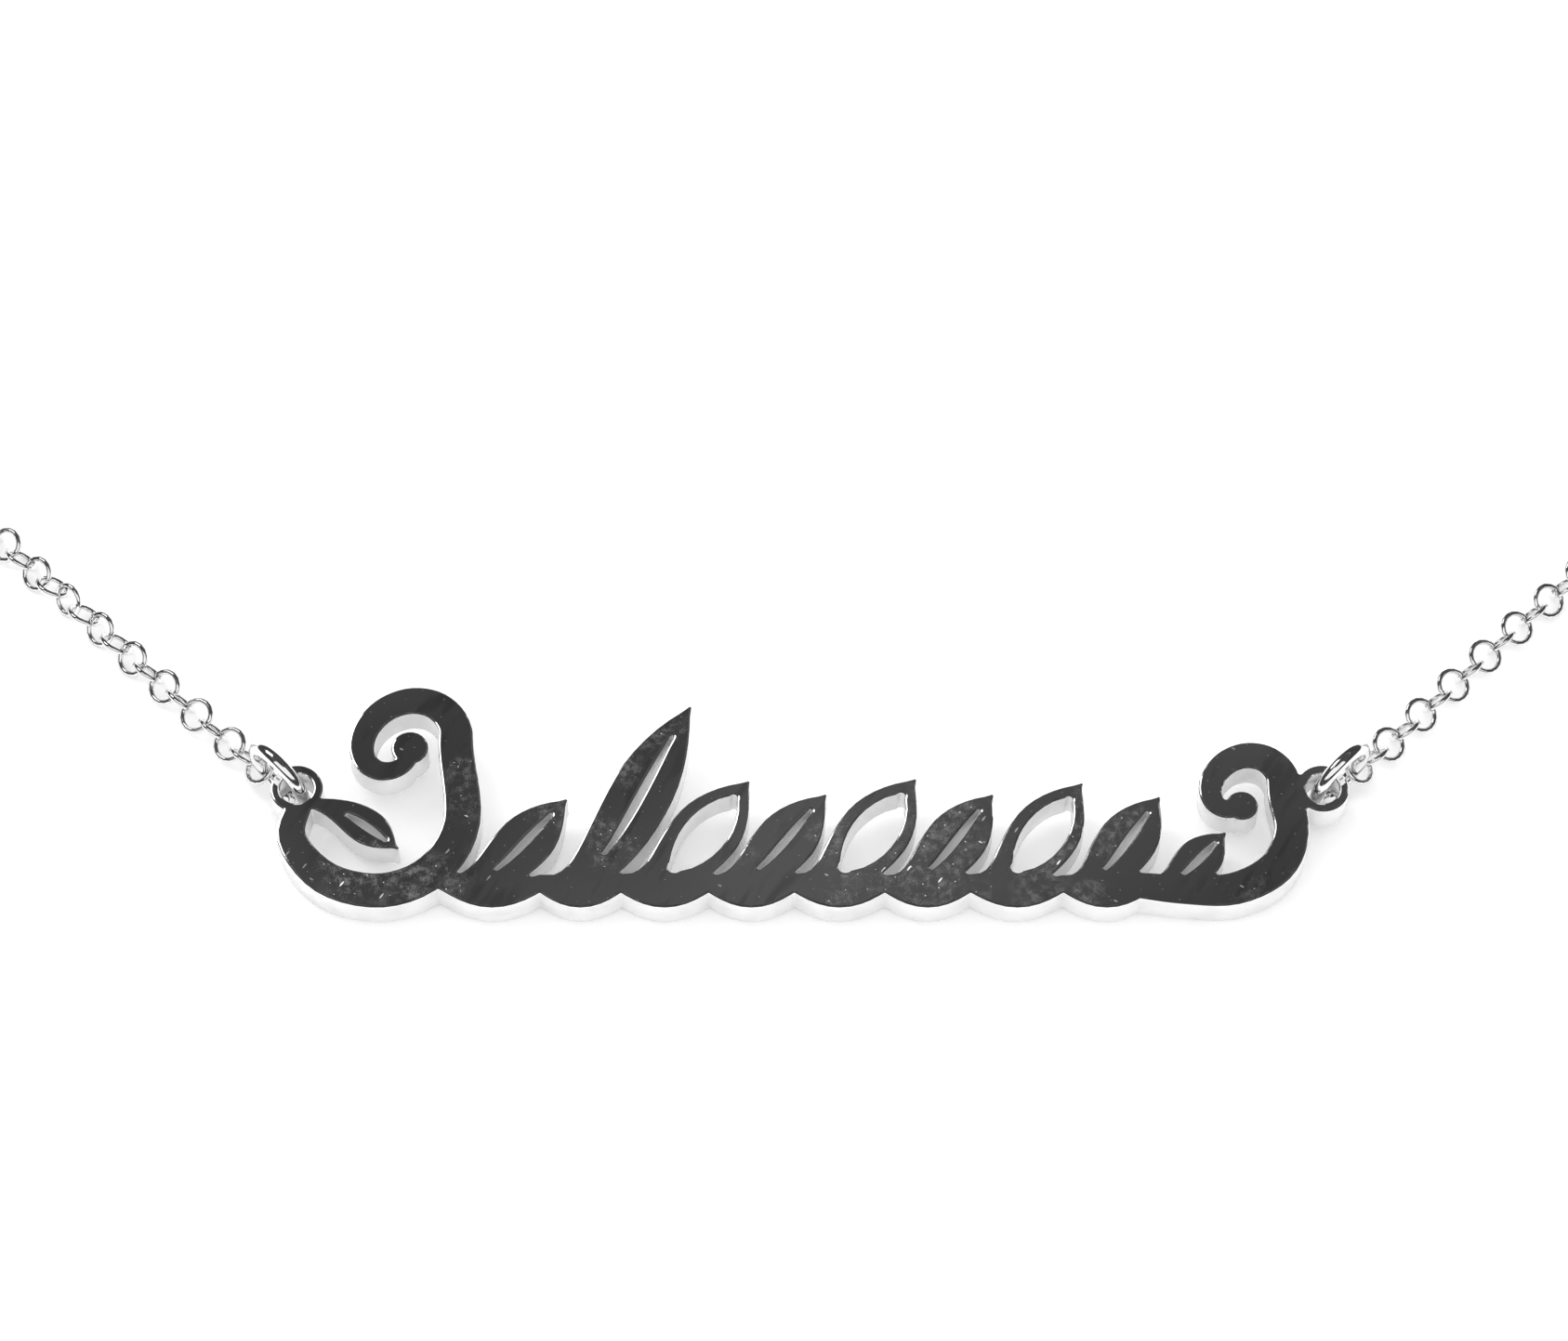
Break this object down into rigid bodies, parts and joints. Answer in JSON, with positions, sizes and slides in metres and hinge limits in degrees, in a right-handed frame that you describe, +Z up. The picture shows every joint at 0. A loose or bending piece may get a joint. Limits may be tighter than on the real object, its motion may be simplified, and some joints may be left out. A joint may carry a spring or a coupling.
{
  "type": "nameplate necklace",
  "caption": "Necklace laid flat in a loop: thick polished plate sawn as a vine with veined leaves and scrolls, an eye and a jump ring at each end, fine round-link chain, plain clasp at the back.",
  "frame": {"origin": "middle of the laid-out necklace's length and width, on the surface that it lies on", "axes": "+X along the plate from its tall scroll to its low scroll, +Y from the plate towards the clasp, +Z up from the surface"},
  "size_m": [0.132, 0.1432, 0.0037],
  "materials": {
    "plate_metal": "mirror polished face, bright polished side walls, fine scratches",
    "ring_metal": "bright polished wire",
    "chain_metal": "bright polished fine wire links",
    "clasp_metal": "polished"
  },
  "bodies": {
    "root": {"nameplate": "plate_metal", "jump_ring_left": "ring_metal", "jump_ring_right": "ring_metal", "chain_left": "chain_metal", "chain_right": "chain_metal", "clasp": "clasp_metal", "clasp_ring_left": "ring_metal", "clasp_ring_right": "ring_metal"}
  },
  "joints": []
}
